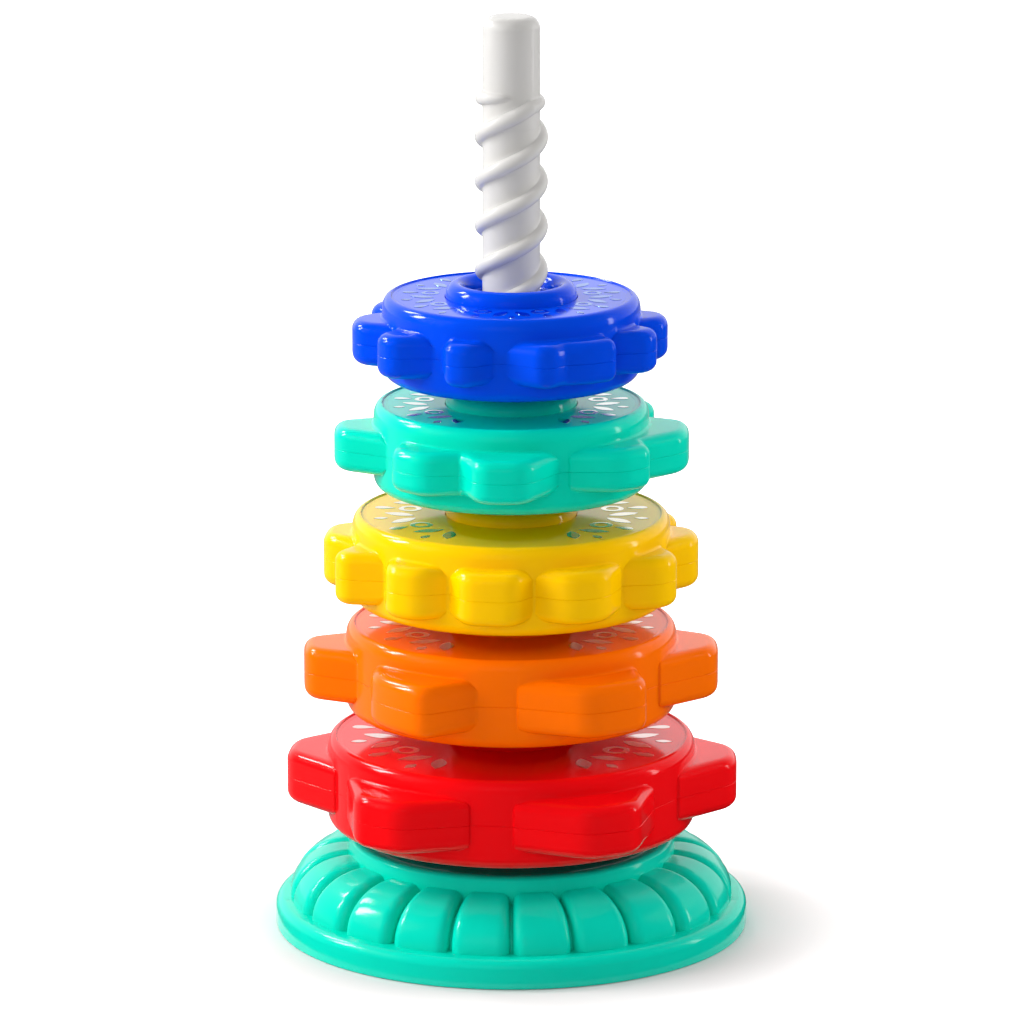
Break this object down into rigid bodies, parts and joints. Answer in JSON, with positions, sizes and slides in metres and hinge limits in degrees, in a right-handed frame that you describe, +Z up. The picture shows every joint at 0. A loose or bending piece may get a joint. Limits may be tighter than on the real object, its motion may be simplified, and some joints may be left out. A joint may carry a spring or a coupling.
{
  "type": "gear stacking toy",
  "caption": "Corkscrew stacking toy: gear discs in graded sizes and colours that spin down a ribbed post on a domed, lobed base.",
  "frame": {"origin": "on the table, under the middle of the post, at the centre of the base's flat foot", "axes": "+Z up along the post; -Y towards the viewer of the picture; +X to the viewer's right"},
  "size_m": [0.165, 0.165, 0.321],
  "materials": {
    "base_plastic": "semi-gloss moulded ABS",
    "base_cover_plastic": "fine matt moulded ABS",
    "post_plastic": "satin moulded ABS",
    "anchor_plastic": "matt moulded acetal",
    "screw_steel": "zinc plated",
    "red_plastic": "semi-gloss moulded ABS",
    "red_face_plastic": "polished moulded ABS",
    "red_hub_plastic": "matt moulded acetal",
    "orange_plastic": "semi-gloss moulded ABS",
    "orange_face_plastic": "polished moulded ABS",
    "orange_hub_plastic": "matt moulded acetal",
    "yellow_plastic": "semi-gloss moulded ABS",
    "yellow_face_plastic": "polished moulded ABS",
    "yellow_hub_plastic": "matt moulded acetal",
    "teal_plastic": "semi-gloss moulded ABS",
    "teal_face_plastic": "polished moulded ABS",
    "teal_hub_plastic": "matt moulded acetal",
    "blue_plastic": "semi-gloss moulded ABS",
    "blue_face_plastic": "polished moulded ABS",
    "blue_hub_plastic": "matt moulded acetal"
  },
  "bodies": {
    "base": {"base_shell": "base_plastic", "base_cover": "base_cover_plastic", "cover_screw_1": "screw_steel", "cover_screw_2": "screw_steel", "cover_screw_3": "screw_steel", "cover_screw_4": "screw_steel", "post": "post_plastic", "post_anchor": "anchor_plastic", "post_washer": "screw_steel", "post_screw": "screw_steel"},
    "red_collar": {"red_collar": "red_face_plastic"},
    "red_disc": {"red_upper_shell": "red_plastic", "red_lower_shell": "red_plastic", "red_face_plate": "red_face_plastic", "red_hub": "red_hub_plastic", "red_screw_1": "screw_steel", "red_screw_2": "screw_steel", "red_screw_3": "screw_steel"},
    "orange_collar": {"orange_collar": "orange_face_plastic"},
    "orange_disc": {"orange_upper_shell": "orange_plastic", "orange_lower_shell": "orange_plastic", "orange_face_plate": "orange_face_plastic", "orange_hub": "orange_hub_plastic", "orange_screw_1": "screw_steel", "orange_screw_2": "screw_steel", "orange_screw_3": "screw_steel"},
    "yellow_collar": {"yellow_collar": "yellow_face_plastic"},
    "yellow_disc": {"yellow_upper_shell": "yellow_plastic", "yellow_lower_shell": "yellow_plastic", "yellow_face_plate": "yellow_face_plastic", "yellow_hub": "yellow_hub_plastic", "yellow_screw_1": "screw_steel", "yellow_screw_2": "screw_steel", "yellow_screw_3": "screw_steel"},
    "teal_collar": {"teal_collar": "teal_face_plastic"},
    "teal_disc": {"teal_upper_shell": "teal_plastic", "teal_lower_shell": "teal_plastic", "teal_face_plate": "teal_face_plastic", "teal_hub": "teal_hub_plastic", "teal_screw_1": "screw_steel", "teal_screw_2": "screw_steel", "teal_screw_3": "screw_steel"},
    "blue_collar": {"blue_collar": "blue_face_plastic"},
    "blue_disc": {"blue_upper_shell": "blue_plastic", "blue_lower_shell": "blue_plastic", "blue_face_plate": "blue_face_plastic", "blue_hub": "blue_hub_plastic", "blue_screw_1": "screw_steel", "blue_screw_2": "screw_steel", "blue_screw_3": "screw_steel"}
  },
  "joints": [
    {"name": "red_lift", "type": "slide", "parent": "base", "child": "red_collar", "axis": [0, 0, 1], "range_m": [0, 0.292]},
    {"name": "red_spin", "type": "hinge", "parent": "red_collar", "child": "red_disc", "pos_m": [0, 0, 0.05], "axis": [0, 0, 1], "range_deg": [0, 3392]},
    {"name": "orange_lift", "type": "slide", "parent": "red_disc", "child": "orange_collar", "axis": [0, 0, 1], "range_m": [0, 0.25]},
    {"name": "orange_spin", "type": "hinge", "parent": "orange_collar", "child": "orange_disc", "pos_m": [0, 0, 0.09], "axis": [0, 0, 1], "range_deg": [0, 2905]},
    {"name": "yellow_lift", "type": "slide", "parent": "orange_disc", "child": "yellow_collar", "axis": [0, 0, 1], "range_m": [0, 0.21]},
    {"name": "yellow_spin", "type": "hinge", "parent": "yellow_collar", "child": "yellow_disc", "pos_m": [0, 0, 0.13], "axis": [0, 0, 1], "range_deg": [0, 2440]},
    {"name": "teal_lift", "type": "slide", "parent": "yellow_disc", "child": "teal_collar", "axis": [0, 0, 1], "range_m": [0, 0.171]},
    {"name": "teal_spin", "type": "hinge", "parent": "teal_collar", "child": "teal_disc", "pos_m": [0, 0, 0.17], "axis": [0, 0, 1], "range_deg": [0, 1987]},
    {"name": "blue_lift", "type": "slide", "parent": "teal_disc", "child": "blue_collar", "axis": [0, 0, 1], "range_m": [0, 0.132]},
    {"name": "blue_spin", "type": "hinge", "parent": "blue_collar", "child": "blue_disc", "pos_m": [0, 0, 0.21], "axis": [0, 0, 1], "range_deg": [0, 1534]}
  ],
  "couplings": [
    {"joint": "red_spin", "follows": "red_lift", "rad_per_m": 202.68},
    {"joint": "orange_spin", "follows": "orange_lift", "rad_per_m": 202.68},
    {"joint": "yellow_spin", "follows": "yellow_lift", "rad_per_m": 202.68},
    {"joint": "teal_spin", "follows": "teal_lift", "rad_per_m": 202.68},
    {"joint": "blue_spin", "follows": "blue_lift", "rad_per_m": 202.68}
  ]
}
